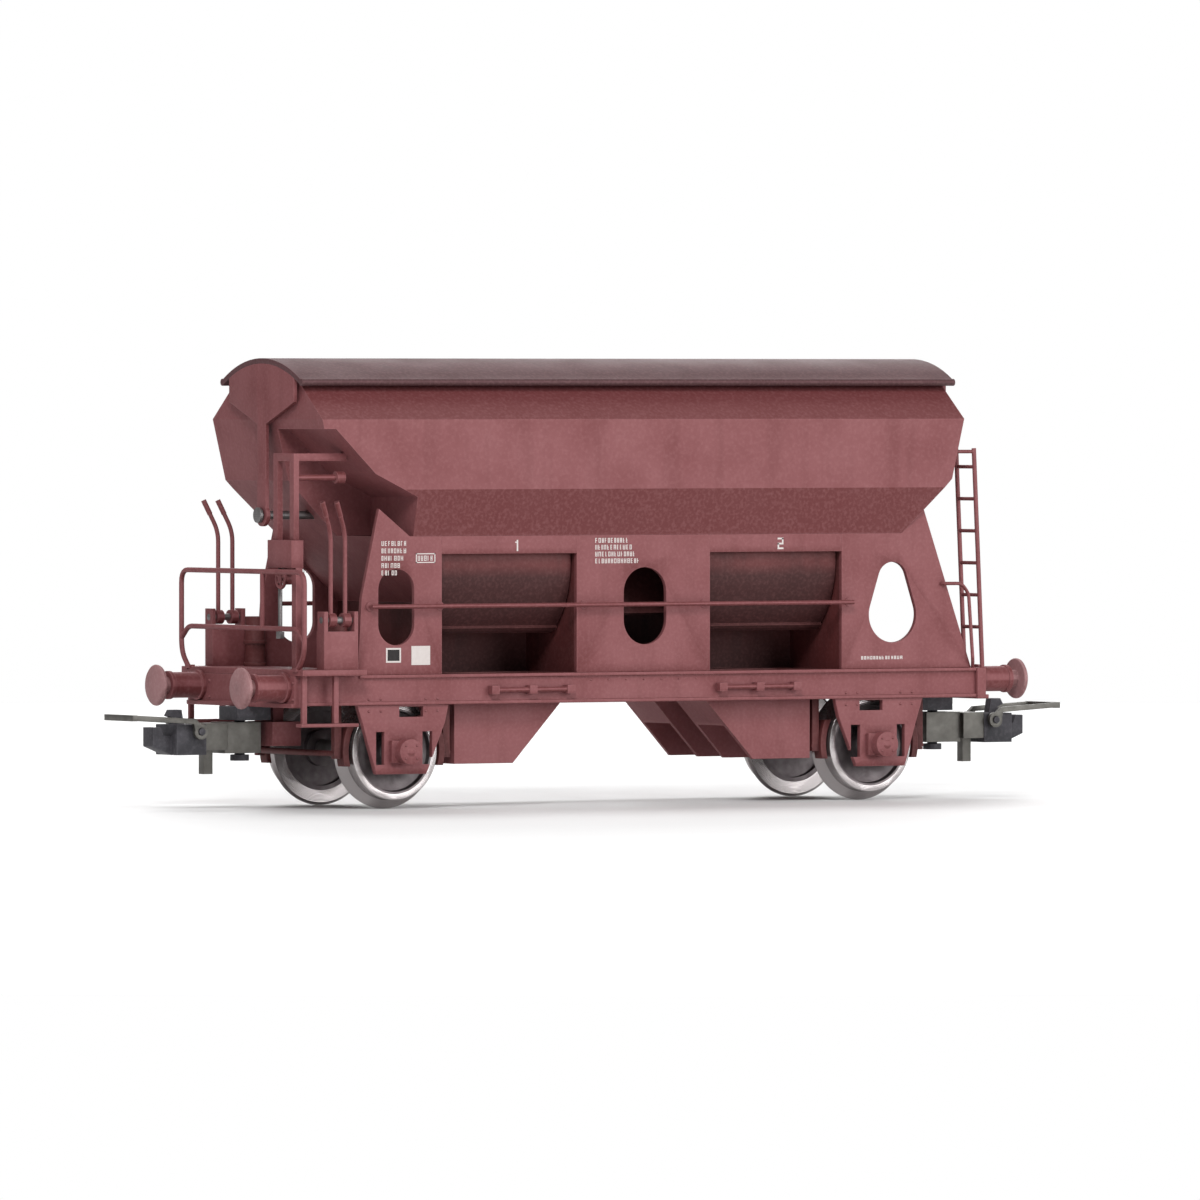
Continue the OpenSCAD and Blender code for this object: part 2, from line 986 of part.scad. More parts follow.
module end_ladder() {
    top = rail + 40.6;
    color(oxide) {
        for (y = [-12, -8.1]) {
            rod([ladder_x(sill_top), y, sill_top], [ladder_x(top), y, top], 0.55);
            rod([ladder_x(top), y, top - 0.4], [fold_x - 0.9, y, top - 0.4], 0.5);
        }
        for (step = [0 : 5])
            let (z = rail + 19.4 + 3.8 * step)
                rod([ladder_x(z), -12, z], [ladder_x(z), -8.1, z], 0.5);
        bent_rod([
            [41.2, -plate_y, rail + 24.6], [41.2, -plate_y - 0.7, rail + 24.6],
            [43.6, -plate_y - 0.7, rail + 24.6], [44.6, -plate_y - 0.7, rail + 23.4],
            [45.2, -plate_y - 0.7, rail + 15.4], [45.6, -plate_y, sill_top]
        ], 0.45);
    }
}

module side_grab_rods() {
    color(oxide)
        both_sides() {
            rod([-37.2, -12.9, rail + 22.5], [28.4, -12.9, rail + 22.5], 0.5);
            for (x = [-37, -27.6, -8.2, 8.2, 28.2])
                rod([x, -12.9, rail + 22.5], [x, -plate_y, rail + 22.5], 0.4);
        }
}

// ---- roof ----

module roof_sheet() {
    half = 44.6;
    edge = 31;
    color([0.40, 0.26, 0.27])
        translate([-half, 0, pivot_z])
            rotate([90, 0, 90])
                linear_extrude(2 * half) {
                    intersection() {
                        difference() {
                            circle(roof_r, $fn = 180);
                            circle(roof_r - roof_t, $fn = 180);
                        }
                        polygon([
                            [0, 0], 30 * [-sin(edge), cos(edge)], [0, 40],
                            30 * [sin(edge), cos(edge)]
                        ]);
                    }
                    for (side = [-1, 1])
                        rotate(-side * edge)
                            translate([0, roof_r - 0.22])
                                circle(0.42);
                }
}

// Arm at the ladder end that carries the roof sheet on its pivot
module roof_arm() {
    color(oxide)
        translate([44.1, 0, pivot_z])
            rotate([90, 0, 90])
                linear_extrude(0.5)
                    difference() {
                        union() {
                            intersection() {
                                circle(roof_r - roof_t, $fn = 180);
                                polygon([
                                    [-7.6, 20], [-7.6, 13.1], [-1.1, 10.6],
                                    [1.1, 10.6], [7.6, 13.1], [7.6, 20]
                                ]);
                            }
                            translate([-1, 0])
                                square([2, 11]);
                            circle(1.3);
                        }
                        circle(0.55);
                    }
}

module ladder_roof_arm() {
    roof_arm();
}

module platform_roof_arm() {
    at_platform_end()
        roof_arm();
}

module roof_pivots() {
    color(steel)
        both_ends() {
            pin_x(37, 44.9, 0, pivot_z, 1.0);
            pin_x(44.8, 45.2, 0, pivot_z, 1.8);
        }
}

// ---- inside ----

module ballast_weight() {
    color(steel)
        difference() {
            block([-8, -9, sill_top], [8, 9, sill_top + 1.6]);
            four_corners()
                translate([5, 6, sill_top - 1])
                    cylinder(h = 4, d = 1);
        }
}

module body_screws() {
    color(steel)
        four_corners()
            translate([5, 6, sill_top - 1.4]) {
                cylinder(h = 2.8, d = 1);
                translate([0, 0, -0.6])
                    cylinder(h = 0.6, d = 1.9);
            }
}

hopper_body();
load_saddle();
bulkheads();
outlet_headers();
platform_side_plates();
centre_side_plates();
ladder_side_plates();
side_sills();
headstocks();
underframe();
axle_guards();
axlebox_covers();
bearing_cups();
leaf_springs();
brake_shoes();
brake_hangers();
buffer_sleeves();
buffer_heads();
coupler_pivots();
platform_coupler_shank();
platform_coupler_head();
platform_coupler_bow();
ladder_coupler_shank();
ladder_coupler_head();
ladder_coupler_bow();
gate_1_near();
gate_1_far();
gate_2_near();
gate_2_far();
gate_shafts();
chutes_1();
chutes_2();
lever_1_near();
lever_2_near();
lever_1_far();
lever_2_far();
lever_shafts();
lever_boxes();
platform_floor();
platform_railing();
air_cylinders();
brake_column();
brake_gearbox();
brake_spindle();
brake_handwheel();
end_ladder();
gate_rods();
platform_steps();
side_grab_rods();
valve_box();
platform_axle();
platform_wheels();
ladder_axle();
ladder_wheels();
roof_sheet();
platform_roof_arm();
ladder_roof_arm();
roof_pivots();
ballast_weight();
body_screws();
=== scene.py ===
import json
import math

import bmesh
import bpy
import numpy as np
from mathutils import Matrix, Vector


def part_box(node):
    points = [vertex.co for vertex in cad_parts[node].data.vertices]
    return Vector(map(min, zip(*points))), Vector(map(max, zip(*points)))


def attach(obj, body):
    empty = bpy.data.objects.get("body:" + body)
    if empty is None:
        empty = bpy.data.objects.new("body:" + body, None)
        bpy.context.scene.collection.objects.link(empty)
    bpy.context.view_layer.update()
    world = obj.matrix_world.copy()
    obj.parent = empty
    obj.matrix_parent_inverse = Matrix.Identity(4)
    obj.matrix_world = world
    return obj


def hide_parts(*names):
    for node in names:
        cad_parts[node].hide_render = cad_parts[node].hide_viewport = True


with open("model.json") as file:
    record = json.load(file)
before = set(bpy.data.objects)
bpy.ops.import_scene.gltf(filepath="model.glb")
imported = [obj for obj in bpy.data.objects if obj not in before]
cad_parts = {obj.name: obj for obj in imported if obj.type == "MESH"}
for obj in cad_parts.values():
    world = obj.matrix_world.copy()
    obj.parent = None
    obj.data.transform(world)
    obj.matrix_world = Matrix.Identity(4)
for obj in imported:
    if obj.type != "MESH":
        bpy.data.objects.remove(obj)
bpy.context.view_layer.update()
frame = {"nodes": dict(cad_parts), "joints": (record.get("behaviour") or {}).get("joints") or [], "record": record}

MM = 0.001
NODES = frame["nodes"]
JOINTS = {joint["name"]: joint for joint in frame["joints"]}
BODY_OF = {
    node: body
    for body, members in frame["record"]["behaviour"]["bodies"].items()
    for node in members
}

# ---- camera, light and floor ----

CAMERA_AZIMUTH = math.radians(-31)
CAMERA_ELEVATION = math.radians(0.9)
LENS_MM = 400
SENSOR_MM = 36
VIEW_WIDTH = 141.2 * MM
AIM = Vector((1.2 * MM, 0, 23.8 * MM))


def make_camera():
    """A long lens at the three-quarter angle from the platform end."""
    camera = bpy.data.objects.new("camera", bpy.data.cameras.new("camera"))
    bpy.context.scene.collection.objects.link(camera)
    back = Vector((
        math.sin(CAMERA_AZIMUTH) * math.cos(CAMERA_ELEVATION),
        -math.cos(CAMERA_AZIMUTH) * math.cos(CAMERA_ELEVATION),
        math.sin(CAMERA_ELEVATION),
    ))
    camera.data.lens = LENS_MM
    camera.data.sensor_width = SENSOR_MM
    camera.data.clip_start = 0.01
    camera.data.clip_end = 60
    camera.location = AIM + back * VIEW_WIDTH * LENS_MM / SENSOR_MM
    camera.rotation_mode = "QUATERNION"
    camera.rotation_quaternion = (-back).to_track_quat("-Z", "Y")
    bpy.context.scene.camera = camera


def soft_light(name, place, size, power):
    """A square soft box that faces the middle of the car."""
    lamp = bpy.data.lights.new(name, "AREA")
    lamp.size = size
    lamp.energy = power
    light = bpy.data.objects.new(name, lamp)
    light.location = place
    light.rotation_mode = "QUATERNION"
    light.rotation_quaternion = (AIM - Vector(place)).to_track_quat("-Z", "Y")
    bpy.context.scene.collection.objects.link(light)


# Name, place in metres, side of the square in metres and power in watts
SOFT_LIGHTS = [
    ("key_light", (-0.4, -0.55, 0.55), 0.25, 3.6),
    ("front_light", (0.35, -0.7, 0.22), 0.4, 3.0),
    ("top_light", (0.1, 0.35, 0.75), 0.4, 3.2),
    ("back_light", (0.4, 0.6, 0.3), 0.4, 1.6),
]
SKY_FILL = 0.3
FLOOR_RADIUS = 0.5
FLOOR_CORNERS = 48


def make_studio():
    """White surroundings, a pale floor and soft boxes at the left, in front, above and behind."""
    for name, spot, size, power in SOFT_LIGHTS:
        soft_light(name, spot, size, power)
    world = bpy.data.worlds.new("studio")
    world.use_nodes = True
    background = world.node_tree.nodes["Background"]
    background.inputs["Color"].default_value = (1.0, 1.0, 1.0, 1)
    seen = add(world.node_tree, "ShaderNodeLightPath")
    strength = add(world.node_tree, "ShaderNodeMapRange")
    strength.inputs["To Min"].default_value = SKY_FILL
    world.node_tree.links.new(seen.outputs["Is Camera Ray"], strength.inputs["Value"])
    world.node_tree.links.new(strength.outputs["Result"], background.inputs["Strength"])
    bpy.context.scene.world = world
    bpy.context.scene.view_settings.view_transform = "Standard"
    floor = surface("studio_floor", *disc(FLOOR_RADIUS, FLOOR_CORNERS))
    floor.data.materials.append(floor_material())


def disc(radius, count):
    """Flat round plate on Z = 0: corners at (radius cos a, radius sin a, 0)."""
    turn = np.linspace(0, 2 * np.pi, count, endpoint=False)
    points = np.stack([radius * np.cos(turn), radius * np.sin(turn), turn * 0], 1)
    return points, [list(range(count))]


# ---- mesh helpers ----

def surface(name, points, faces):
    """A mesh object at the origin from an array of points and lists of corners."""
    mesh = bpy.data.meshes.new(name)
    mesh.from_pydata(np.asarray(points, float).tolist(), [], [list(map(int, f)) for f in faces])
    mesh.update()
    piece = bpy.data.objects.new(name, mesh)
    bpy.context.scene.collection.objects.link(piece)
    return piece


def rounded(path, fillet, steps=6):
    """The path with each corner cut back by the fillet and bridged by a quadratic curve."""
    path = np.asarray(path, float)
    before = path[:-2] - path[1:-1]
    after = path[2:] - path[1:-1]
    reach_a = np.minimum(fillet, np.linalg.norm(before, axis=1) * 0.45)[:, None]
    reach_b = np.minimum(fillet, np.linalg.norm(after, axis=1) * 0.45)[:, None]
    start = path[1:-1] + before / np.linalg.norm(before, axis=1)[:, None] * reach_a
    end = path[1:-1] + after / np.linalg.norm(after, axis=1)[:, None] * reach_b
    t = np.linspace(0, 1, steps)[None, :, None]
    bend = (1 - t) ** 2 * start[:, None] + 2 * t * (1 - t) * path[1:-1, None] + t**2 * end[:, None]
    return np.concatenate([path[:1], bend.reshape(-1, 3), path[-1:]])


def tube(path, radius, sides=14, fillet=0.0, up=(0.13, 0.31, 0.94)):
    """A closed round wire along a path: centre + radius * (cos a * side + sin a * top)."""
    line = rounded(path, fillet) if fillet and len(path) > 2 else np.asarray(path, float)
    tangent = np.gradient(line, axis=0)
    tangent /= np.linalg.norm(tangent, axis=1)[:, None]
    side = np.cross(tangent, np.asarray(up, float))
    side /= np.linalg.norm(side, axis=1)[:, None]
    top = np.cross(side, tangent)
    turn = np.linspace(0, 2 * np.pi, sides, endpoint=False)
    ring = np.cos(turn)[None, :, None] * side[:, None] + np.sin(turn)[None, :, None] * top[:, None]
    points = (line[:, None] + radius * ring).reshape(-1, 3)
    i, j = np.meshgrid(np.arange(len(line) - 1), np.arange(sides), indexing="ij")
    k = (j + 1) % sides
    faces = np.stack([i * sides + j, (i + 1) * sides + j, (i + 1) * sides + k, i * sides + k], -1)
    last = (len(line) - 1) * sides
    caps = [np.arange(sides), np.arange(sides)[::-1] + last]
    return points, faces.reshape(-1, 4).tolist() + [c.tolist() for c in caps]


def slab(low, high):
    """Corners and faces of a block between two corners."""
    low, high = np.asarray(low, float), np.asarray(high, float)
    pick = np.array([[x, y, z] for x in (0, 1) for y in (0, 1) for z in (0, 1)])
    faces = [[0, 1, 3, 2], [4, 6, 7, 5], [0, 4, 5, 1], [2, 3, 7, 6], [0, 2, 6, 4], [1, 5, 7, 3]]
    return low + pick * (high - low), faces


def joined(name, shapes):
    """One mesh object from several (points, faces) shapes."""
    points, faces, start = [], [], 0
    for shape_points, shape_faces in shapes:
        points.append(np.asarray(shape_points, float))
        faces += [[c + start for c in face] for face in shape_faces]
        start += len(shape_points)
    return surface(name, np.concatenate(points), faces)


def finish_mesh(piece, bevel=0.0, angle=32, crease=38):
    """Turns faces outwards, bevels edges sharper than the angle, smooths below the crease."""
    bm = bmesh.new()
    bm.from_mesh(piece.data)
    bmesh.ops.remove_doubles(bm, verts=bm.verts, dist=2e-6)
    bmesh.ops.recalc_face_normals(bm, faces=bm.faces)
    bmesh.ops.dissolve_limit(
        bm, angle_limit=math.radians(0.4), verts=bm.verts, edges=bm.edges
    )
    if bevel:
        sharp = [
            edge for edge in bm.edges
            if len(edge.link_faces) == 2 and edge.calc_face_angle(0) > math.radians(angle)
        ]
        bmesh.ops.bevel(
            bm, geom=sharp, offset=bevel, segments=2, profile=0.6,
            affect="EDGES", clamp_overlap=True,
        )
    bm.to_mesh(piece.data)
    bm.free()
    piece.data.polygons.foreach_set("use_smooth", [True] * len(piece.data.polygons))
    piece.data.set_sharp_from_angle(angle=math.radians(crease))
    return piece


def place(piece, body, material, slot):
    """Gives a piece its finish and lets it ride on a body."""
    piece.data.materials.clear()
    piece.data.materials.append(material)
    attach(piece, body)
    return piece


# ---- shader groups ----

def new_group(name, inputs, outputs):
    """An empty shader group with named float, vector or colour sockets."""
    group = bpy.data.node_groups.new(name, "ShaderNodeTree")
    kinds = {"f": "NodeSocketFloat", "v": "NodeSocketVector", "c": "NodeSocketColor"}
    for label, kind, value in inputs:
        socket = group.interface.new_socket(label, in_out="INPUT", socket_type=kinds[kind])
        if value is not None:
            socket.default_value = value
    for label, kind in outputs:
        group.interface.new_socket(label, in_out="OUTPUT", socket_type=kinds[kind])
    return group, group.nodes.new("NodeGroupInput"), group.nodes.new("NodeGroupOutput")


def add(tree, kind, **settings):
    """A node with its settings, such as operation or blend_type."""
    node = tree.nodes.new(kind)
    for key, value in settings.items():
        setattr(node, key, value)
    return node


PATCH_SCALE = 160
SPECKLE_SCALE = 2600
STREAK_SCALE = 420
STREAK_STRETCH = (1, 1, 0.12)
# Normal Z times |normal Y| at which the painted shade on side faces that lean down or up starts and is complete
SHADE_LEAN_DOWN = (-0.04, -0.17)
SHADE_LEAN_UP = (0.3, 0.46)


def weathered_paint_group():
    """Paint that drifts in soft patches and streaks, with speckle and worn edges.

    Side faces that lean down or up are darkened towards the film colour: painted shade, for faces turned from the
    light and for the upper slope under the roof's edge.
    """
    group, given, out = new_group(
        "weathered_paint",
        [("Vector", "v", None), ("Paint", "c", (1, 1, 1, 1)), ("FilmAndShade", "c", (0, 0, 0, 1)),
         ("Worn", "c", (1, 1, 1, 1)), ("Patches", "f", 0.3), ("Speckle", "f", 0.3),
         ("Wear", "f", 0.4), ("UnderShade", "f", 0.9), ("OverShade", "f", 0.75)],
        [("Color", "c"), ("Roughness", "f"), ("Height", "f")],
    )
    links = group.links.new
    patches = add(group, "ShaderNodeTexNoise")
    patches.inputs["Scale"].default_value = PATCH_SCALE
    patches.inputs["Detail"].default_value = 5
    speckle = add(group, "ShaderNodeTexNoise")
    speckle.inputs["Scale"].default_value = SPECKLE_SCALE
    speckle.inputs["Detail"].default_value = 3
    streaks = add(group, "ShaderNodeTexNoise")
    streaks.inputs["Scale"].default_value = STREAK_SCALE
    stretch = add(group, "ShaderNodeVectorMath", operation="MULTIPLY")
    stretch.inputs[1].default_value = STREAK_STRETCH
    for node in (patches, speckle):
        links(given.outputs["Vector"], node.inputs["Vector"])
    links(given.outputs["Vector"], stretch.inputs[0])
    links(stretch.outputs[0], streaks.inputs["Vector"])

    def spread(source, low, high):
        ramp = add(group, "ShaderNodeMapRange")
        ramp.inputs["From Min"].default_value = low
        ramp.inputs["From Max"].default_value = high
        links(source, ramp.inputs["Value"])
        return ramp.outputs["Result"]

    def times(a, b):
        node = add(group, "ShaderNodeMath", operation="MULTIPLY")
        links(a, node.inputs[0])
        links(b, node.inputs[1])
        return node.outputs[0]

    def blend(kind, factor, a, b):
        node = add(group, "ShaderNodeMix", data_type="RGBA", blend_type=kind)
        links(factor, node.inputs["Factor"])
        links(a, node.inputs[6])
        links(b, node.inputs[7])
        return node.outputs[2]

    film = times(spread(patches.outputs["Fac"], 0.4, 0.75), given.outputs["Patches"])
    drip = times(spread(streaks.outputs["Fac"], 0.5, 0.8), given.outputs["Patches"])
    fleck = times(spread(speckle.outputs["Fac"], 0.45, 0.75), given.outputs["Speckle"])
    rounding = add(group, "ShaderNodeBevel", samples=4)
    rounding.inputs["Radius"].default_value = 0.22 * MM
    flat = add(group, "ShaderNodeNewGeometry")
    facing = add(group, "ShaderNodeVectorMath", operation="DOT_PRODUCT")
    links(rounding.outputs["Normal"], facing.inputs[0])
    links(flat.outputs["Normal"], facing.inputs[1])
    edge = spread(facing.outputs["Value"], 0.995, 0.88)
    broken = times(edge, spread(patches.outputs["Fac"], 0.3, 0.6))
    worn = times(broken, given.outputs["Wear"])
    # Painted shade: side faces that lean down, and side faces that lean up under the roof's edge, are mixed
    # towards the film colour.
    tilt = add(group, "ShaderNodeSeparateXYZ")
    links(flat.outputs["Normal"], tilt.inputs[0])
    across = add(group, "ShaderNodeMath", operation="ABSOLUTE")
    links(tilt.outputs["Y"], across.inputs[0])
    lean = times(tilt.outputs["Z"], across.outputs[0])
    under_shade = times(spread(lean, *SHADE_LEAN_DOWN), given.outputs["UnderShade"])
    over_shade = times(spread(lean, *SHADE_LEAN_UP), given.outputs["OverShade"])
    colour = blend("MIX", film, given.outputs["Paint"], given.outputs["FilmAndShade"])
    colour = blend("MIX", drip, colour, given.outputs["FilmAndShade"])
    # Painted shade mixed in on leaning side faces; the patches and streaks above are grime.
    colour = blend("MIX", under_shade, colour, given.outputs["FilmAndShade"])
    colour = blend("MIX", over_shade, colour, given.outputs["FilmAndShade"])
    colour = blend("MIX", fleck, colour, given.outputs["Worn"])
    colour = blend("MIX", worn, colour, given.outputs["Worn"])
    rough = add(group, "ShaderNodeMapRange")
    rough.inputs["To Min"].default_value = 0.5
    rough.inputs["To Max"].default_value = 0.78
    links(patches.outputs["Fac"], rough.inputs["Value"])
    links(colour, out.inputs["Color"])
    links(rough.outputs["Result"], out.inputs["Roughness"])
    links(speckle.outputs["Fac"], out.inputs["Height"])
    return group


def turned_metal_group():
    """Metal with fine rings round an axle: height and tone follow the distance from a centre."""
    group, given, out = new_group(
        "turned_metal",
        [("Vector", "v", None), ("Dark", "c", (0, 0, 0, 1)), ("Bright", "c", (1, 1, 1, 1)),
         ("Rim", "f", 0.0045)],
        [("Color", "c"), ("Roughness", "f"), ("Height", "f")],
    )
    links = group.links.new
    flatten = add(group, "ShaderNodeVectorMath", operation="MULTIPLY")
    flatten.inputs[1].default_value = (1, 0, 1)
    reach = add(group, "ShaderNodeVectorMath", operation="LENGTH")
    links(given.outputs["Vector"], flatten.inputs[0])
    links(flatten.outputs[0], reach.inputs[0])
    rim = add(group, "ShaderNodeMath", operation="GREATER_THAN")
    links(reach.outputs["Value"], rim.inputs[0])
    links(given.outputs["Rim"], rim.inputs[1])
    smut = add(group, "ShaderNodeTexNoise")
    smut.inputs["Scale"].default_value = 900
    smut.inputs["Detail"].default_value = 6
    links(given.outputs["Vector"], smut.inputs["Vector"])
    tone = add(group, "ShaderNodeMath", operation="MULTIPLY_ADD")
    tone.inputs[1].default_value = 0.55
    links(smut.outputs["Fac"], tone.inputs[0])
    links(rim.outputs[0], tone.inputs[2])
    lower = add(group, "ShaderNodeMath", operation="SUBTRACT", use_clamp=True)
    lower.inputs[1].default_value = 0.2
    links(tone.outputs[0], lower.inputs[0])
    colour = add(group, "ShaderNodeMix", data_type="RGBA")
    links(lower.outputs[0], colour.inputs["Factor"])
    links(given.outputs["Dark"], colour.inputs[6])
    links(given.outputs["Bright"], colour.inputs[7])
    rings = add(group, "ShaderNodeMath", operation="MULTIPLY")
    rings.inputs[1].default_value = 40000
    wave = add(group, "ShaderNodeMath", operation="SINE")
    links(reach.outputs["Value"], rings.inputs[0])
    links(rings.outputs[0], wave.inputs[0])
    rough = add(group, "ShaderNodeMapRange")
    rough.inputs["To Min"].default_value = 0.5
    rough.inputs["To Max"].default_value = 0.25
    links(lower.outputs[0], rough.inputs["Value"])
    links(colour.outputs[2], out.inputs["Color"])
    links(rough.outputs["Result"], out.inputs["Roughness"])
    links(wave.outputs[0], out.inputs["Height"])
    return group


PAINT_GROUP = weathered_paint_group()
METAL_GROUP = turned_metal_group()


def grouped_material(name, group, values, metallic, bump, centre=(0, 0, 0)):
    """A Principled material whose colour, roughness and bump come from a group."""
    material = bpy.data.materials.new(name)
    material.use_nodes = True
    tree = material.node_tree
    shader = tree.nodes["Principled BSDF"]
    shader.inputs["Metallic"].default_value = metallic
    shader.inputs["Specular IOR Level"].default_value = 0.35
    where = add(tree, "ShaderNodeTexCoord")
    shift = add(tree, "ShaderNodeMapping")
    shift.inputs["Location"].default_value = [-c for c in centre]
    detail = add(tree, "ShaderNodeGroup")
    detail.node_tree = group
    for key, value in values.items():
        detail.inputs[key].default_value = value
    relief = add(tree, "ShaderNodeBump")
    relief.inputs["Distance"].default_value = 0.05 * MM
    relief.inputs["Strength"].default_value = bump
    tree.links.new(where.outputs["Object"], shift.inputs["Vector"])
    tree.links.new(shift.outputs["Vector"], detail.inputs["Vector"])
    tree.links.new(detail.outputs["Color"], shader.inputs["Base Color"])
    tree.links.new(detail.outputs["Roughness"], shader.inputs["Roughness"])
    tree.links.new(detail.outputs["Height"], relief.inputs["Height"])
    tree.links.new(relief.outputs["Normal"], shader.inputs["Normal"])
    return material


def paint(name, colour, film, worn, patches=0.35, speckle=0.22, wear=0.5, bump=0.35):
    """Flat model paint in linear colours; the film colour tints grime patches and streaks and is also painted
    shade on side faces that lean down or up.
    """
    return grouped_material(name, PAINT_GROUP, {
        "Paint": (*colour, 1), "FilmAndShade": (*film, 1), "Worn": (*worn, 1),
        "Patches": patches, "Speckle": speckle, "Wear": wear,
    }, 0.0, bump)


def metal(name, dark, bright, rim=1.0, centre=(0, 0, 0), bump=0.15):
    """Turned metal, bright beyond the rim radius from the centre."""
    return grouped_material(name, METAL_GROUP, {
        "Dark": (*dark, 1), "Bright": (*bright, 1), "Rim": rim,
    }, 0.85, bump, centre)


def floor_material():
    """Matt pale paper with a faint mottle."""
    return grouped_material("studio_paper", PAINT_GROUP, {
        "Paint": (0.86, 0.86, 0.86, 1), "FilmAndShade": (0.8, 0.8, 0.8, 1), "Worn": (0.9, 0.9, 0.9, 1),
        "Patches": 0.1, "Speckle": 0.1, "Wear": 0.0,
    }, 0.0, 0.02)


OXIDE = (0.222, 0.072, 0.077)
OXIDE_WORN = (0.34, 0.15, 0.155)
# Grime colour of patches and streaks, also used as painted shade on side faces that lean down or up.
OXIDE_FILM_AND_SHADE = (0.115, 0.022, 0.023)
WHEEL_X = {
    name: (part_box(f"{name}_axle")[0].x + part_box(f"{name}_axle")[1].x) / 2
    for name in ("platform", "ladder")
}
AXLE_Z = (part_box("platform_axle")[0].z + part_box("platform_axle")[1].z) / 2
FINISH = {
    "oxide_paint": paint("oxide_paint", OXIDE, OXIDE_FILM_AND_SHADE, OXIDE_WORN),
    "roof_paint": paint(
        "roof_paint", (0.10, 0.040, 0.044), (0.06, 0.024, 0.026), (0.19, 0.10, 0.105),
        patches=0.4, speckle=0.3,
    ),
    "dark_paint": paint(
        "dark_paint", (0.11, 0.024, 0.024), (0.04, 0.01, 0.01), (0.2, 0.08, 0.08),
        patches=0.6,
    ),
    "buffer_paint": paint(
        "buffer_paint", (0.33, 0.17, 0.175), (0.2, 0.09, 0.09), (0.5, 0.33, 0.33), wear=0.8,
    ),
    "black_plastic": paint(
        "black_plastic", (0.05, 0.047, 0.055), (0.02, 0.02, 0.024), (0.16, 0.15, 0.17),
    ),
    "coupler_grey": metal("coupler_grey", (0.12, 0.115, 0.105), (0.3, 0.29, 0.27)),
    "axle_steel": metal("axle_steel", (0.2, 0.19, 0.19), (0.5, 0.48, 0.48)),
    "bearing_brass": metal("bearing_brass", (0.4, 0.27, 0.1), (0.7, 0.52, 0.24)),
    "platform_wheel": metal(
        "platform_wheel", (0.14, 0.12, 0.125), (0.42, 0.39, 0.39), 4.95 * MM,
        (WHEEL_X["platform"], 0, AXLE_Z),
    ),
    "ladder_wheel": metal(
        "ladder_wheel", (0.14, 0.12, 0.125), (0.42, 0.39, 0.39), 4.95 * MM,
        (WHEEL_X["ladder"], 0, AXLE_Z),
    ),
    "mark_white": paint(
        "mark_white", (0.62, 0.57, 0.55), (0.5, 0.42, 0.4), (0.75, 0.7, 0.68), wear=0.0,
    ),
    "mark_black": paint(
        "mark_black", (0.015, 0.012, 0.012), (0.01, 0.01, 0.01), (0.05, 0.04, 0.04), wear=0.0,
    ),
}
SLOT_OF = {part["node"]: part["material_slot"] for part in frame["record"]["subparts"]}


def finish_of(node):
    """The material of a CAD node: each wheel set has its own centre for its rings."""
    if node.endswith("_wheels"):
        return FINISH[node.replace("_wheels", "_wheel")]
    return FINISH[SLOT_OF[node]]


# ---- CAD nodes with softened edges ----

TUBED = {
    "platform_railing", "side_grab_rods", "end_ladder",
    "lever_1_near", "lever_2_near", "lever_1_far", "lever_2_far",
}
EDGE_MM = {
    "hopper_body": 0.16, "roof_sheet": 0.05, "platform_wheels": 0.04, "ladder_wheels": 0.04,
    "leaf_springs": 0.03, "gate_shafts": 0.03, "brake_spindle": 0.03, "brake_handwheel": 0.0,
    "bearing_cups": 0.02, "brake_column": 0.08, "headstocks": 0.08, "side_sills": 0.06,
}
DEFAULT_EDGE_MM = 0.05
CREASE = {"hopper_body": (12, 5), "chutes_1": (15, 12), "chutes_2": (15, 12)}


def softened(node):
    """A copy of a CAD node with its edges rounded, which stands in for it."""
    piece = bpy.data.objects.new(f"{node}_finished", NODES[node].data.copy())
    bpy.context.scene.collection.objects.link(piece)
    finish_mesh(piece, EDGE_MM.get(node, DEFAULT_EDGE_MM) * MM, *CREASE.get(node, (32, 38)))
    place(piece, BODY_OF[node], finish_of(node), SLOT_OF[node])
    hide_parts(node)


# ---- wire pieces ----

RAIL_WIRE = 0.3 * MM
POST_INSET = 1.8 * MM
POST_RISE = 1.9 * MM
BAR_BELOW_TOP = 6.55 * MM
BAR_INSET = 1.7 * MM
BAR_DROP = 1.4 * MM
UPRIGHT_Y = -4.7 * MM
STANDOFF_X = np.array([-37, -27.6, -8.2, 8.2, 28.2]) * MM
RUNGS = 6
FIRST_RUNG = 4.8 * MM
RUNG_STEP = 3.8 * MM
STILE_Y = (-12 * MM, -8.1 * MM)
THIN_WIRE = 0.22 * MM
LEVER_WIRE = 0.26 * MM
LEVER_GRIP = 0.31 * MM
LEVER_HUB = 0.82 * MM
LEVER_UPRIGHT = 10 * MM


def wire_piece(name, node, shapes):
    """Round wires that stand in for a CAD node."""
    piece = finish_mesh(joined(name, shapes))
    place(piece, BODY_OF[node], finish_of(node), SLOT_OF[node])
    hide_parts(node)


